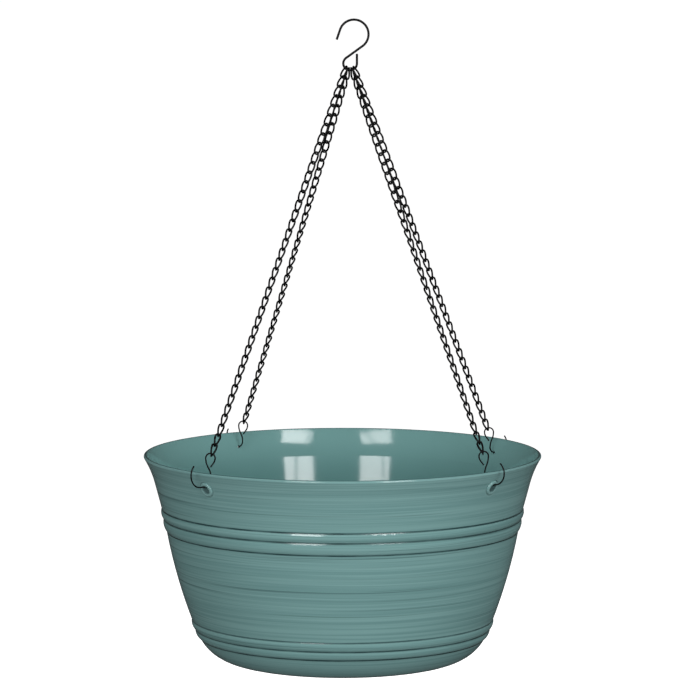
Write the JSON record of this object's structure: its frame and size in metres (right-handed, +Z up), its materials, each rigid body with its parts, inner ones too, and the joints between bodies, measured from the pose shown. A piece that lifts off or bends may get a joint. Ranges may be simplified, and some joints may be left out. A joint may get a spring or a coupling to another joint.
{
  "type": "hanging basket",
  "caption": "Round flared hanging planter with ribbed bands, hung by twist-link chains and wire hooks from an S-hook.",
  "frame": {"origin": "centre of the planter's foot, on the plane of its foot ring", "axes": "+Z up towards the S-hook, +X to the right and -Y to the front as the S-hook faces"},
  "size_m": [0.3822, 0.3822, 0.6176],
  "materials": {
    "glazed_shell": "gloss glaze look with fine darker horizontal streaks",
    "black_steel": "black coated wire",
    "black_chain": "black coated wire links"
  },
  "bodies": {
    "s_hook": {"s_hook": "black_steel"},
    "top_links": {"top_link_front_left": "black_chain", "top_link_back_left": "black_chain", "top_link_front_right": "black_chain", "top_link_back_right": "black_chain"},
    "chain_front_left": {"chain_front_left_01": "black_chain", "chain_front_left_02": "black_chain", "chain_front_left_03": "black_chain", "chain_front_left_04": "black_chain", "chain_front_left_05": "black_chain", "chain_front_left_06": "black_chain", "chain_front_left_07": "black_chain", "chain_front_left_08": "black_chain", "chain_front_left_09": "black_chain", "chain_front_left_10": "black_chain"},
    "chain_back_left": {"chain_back_left_01": "black_chain", "chain_back_left_02": "black_chain", "chain_back_left_03": "black_chain", "chain_back_left_04": "black_chain", "chain_back_left_05": "black_chain", "chain_back_left_06": "black_chain", "chain_back_left_07": "black_chain", "chain_back_left_08": "black_chain", "chain_back_left_09": "black_chain", "chain_back_left_10": "black_chain"},
    "chain_front_right": {"chain_front_right_01": "black_chain", "chain_front_right_02": "black_chain", "chain_front_right_03": "black_chain", "chain_front_right_04": "black_chain", "chain_front_right_05": "black_chain", "chain_front_right_06": "black_chain", "chain_front_right_07": "black_chain", "chain_front_right_08": "black_chain", "chain_front_right_09": "black_chain", "chain_front_right_10": "black_chain"},
    "chain_back_right": {"chain_back_right_01": "black_chain", "chain_back_right_02": "black_chain", "chain_back_right_03": "black_chain", "chain_back_right_04": "black_chain", "chain_back_right_05": "black_chain", "chain_back_right_06": "black_chain", "chain_back_right_07": "black_chain", "chain_back_right_08": "black_chain", "chain_back_right_09": "black_chain", "chain_back_right_10": "black_chain"},
    "planter": {"pot": "glazed_shell"},
    "hook_front_left": {"hook_front_left": "black_steel"},
    "hook_back_left": {"hook_back_left": "black_steel"},
    "hook_front_right": {"hook_front_right": "black_steel"},
    "hook_back_right": {"hook_back_right": "black_steel"}
  },
  "joints": [
    {"name": "sway_side", "type": "hinge", "parent": "s_hook", "child": "top_links", "pos_m": [0.0073, 0, 0.5748], "axis": [0, 1, 0], "range_deg": [-15, 15]},
    {"name": "sway_fore", "type": "hinge", "parent": "top_links", "child": "planter", "pos_m": [0.00745, 0, 0.56037], "axis": [1, 0, 0], "range_deg": [-6, 6]},
    {"name": "chain_sway_front_left", "type": "hinge", "parent": "top_links", "child": "chain_front_left", "pos_m": [-0.00005, -0.00315, 0.56133], "axis": [1, 0, 0], "range_deg": [-6, 6]},
    {"name": "chain_sway_back_left", "type": "hinge", "parent": "top_links", "child": "chain_back_left", "pos_m": [0.00323, 0.00357, 0.55964], "axis": [1, 0, 0], "range_deg": [-6, 6]},
    {"name": "chain_sway_front_right", "type": "hinge", "parent": "top_links", "child": "chain_front_right", "pos_m": [0.012, -0.00288, 0.55959], "axis": [1, 0, 0], "range_deg": [-6, 6]},
    {"name": "chain_sway_back_right", "type": "hinge", "parent": "top_links", "child": "chain_back_right", "pos_m": [0.0146, 0.00246, 0.56092], "axis": [1, 0, 0], "range_deg": [-6, 6]},
    {"name": "hook_rock_front_left", "type": "hinge", "parent": "planter", "child": "hook_front_left", "pos_m": [-0.12653, -0.13427, 0.1869], "axis": [0.7278, -0.6858, 0], "range_deg": [-1, 1]},
    {"name": "hook_rock_back_left", "type": "hinge", "parent": "planter", "child": "hook_back_left", "pos_m": [-0.10477, 0.15187, 0.1869], "axis": [-0.8231, -0.5678, 0], "range_deg": [-1, 1]},
    {"name": "hook_rock_front_right", "type": "hinge", "parent": "planter", "child": "hook_front_right", "pos_m": [0.14009, -0.12007, 0.1869], "axis": [0.6508, 0.7593, 0], "range_deg": [-1, 1]},
    {"name": "hook_rock_back_right", "type": "hinge", "parent": "planter", "child": "hook_back_right", "pos_m": [0.15113, 0.10583, 0.1869], "axis": [-0.5736, 0.8192, 0], "range_deg": [-1, 1]}
  ],
  "couplings": [
    {"joint": "chain_sway_front_left", "follows": "sway_fore", "ratio": 1},
    {"joint": "chain_sway_back_left", "follows": "sway_fore", "ratio": 1},
    {"joint": "chain_sway_front_right", "follows": "sway_fore", "ratio": 1},
    {"joint": "chain_sway_back_right", "follows": "sway_fore", "ratio": 1}
  ]
}
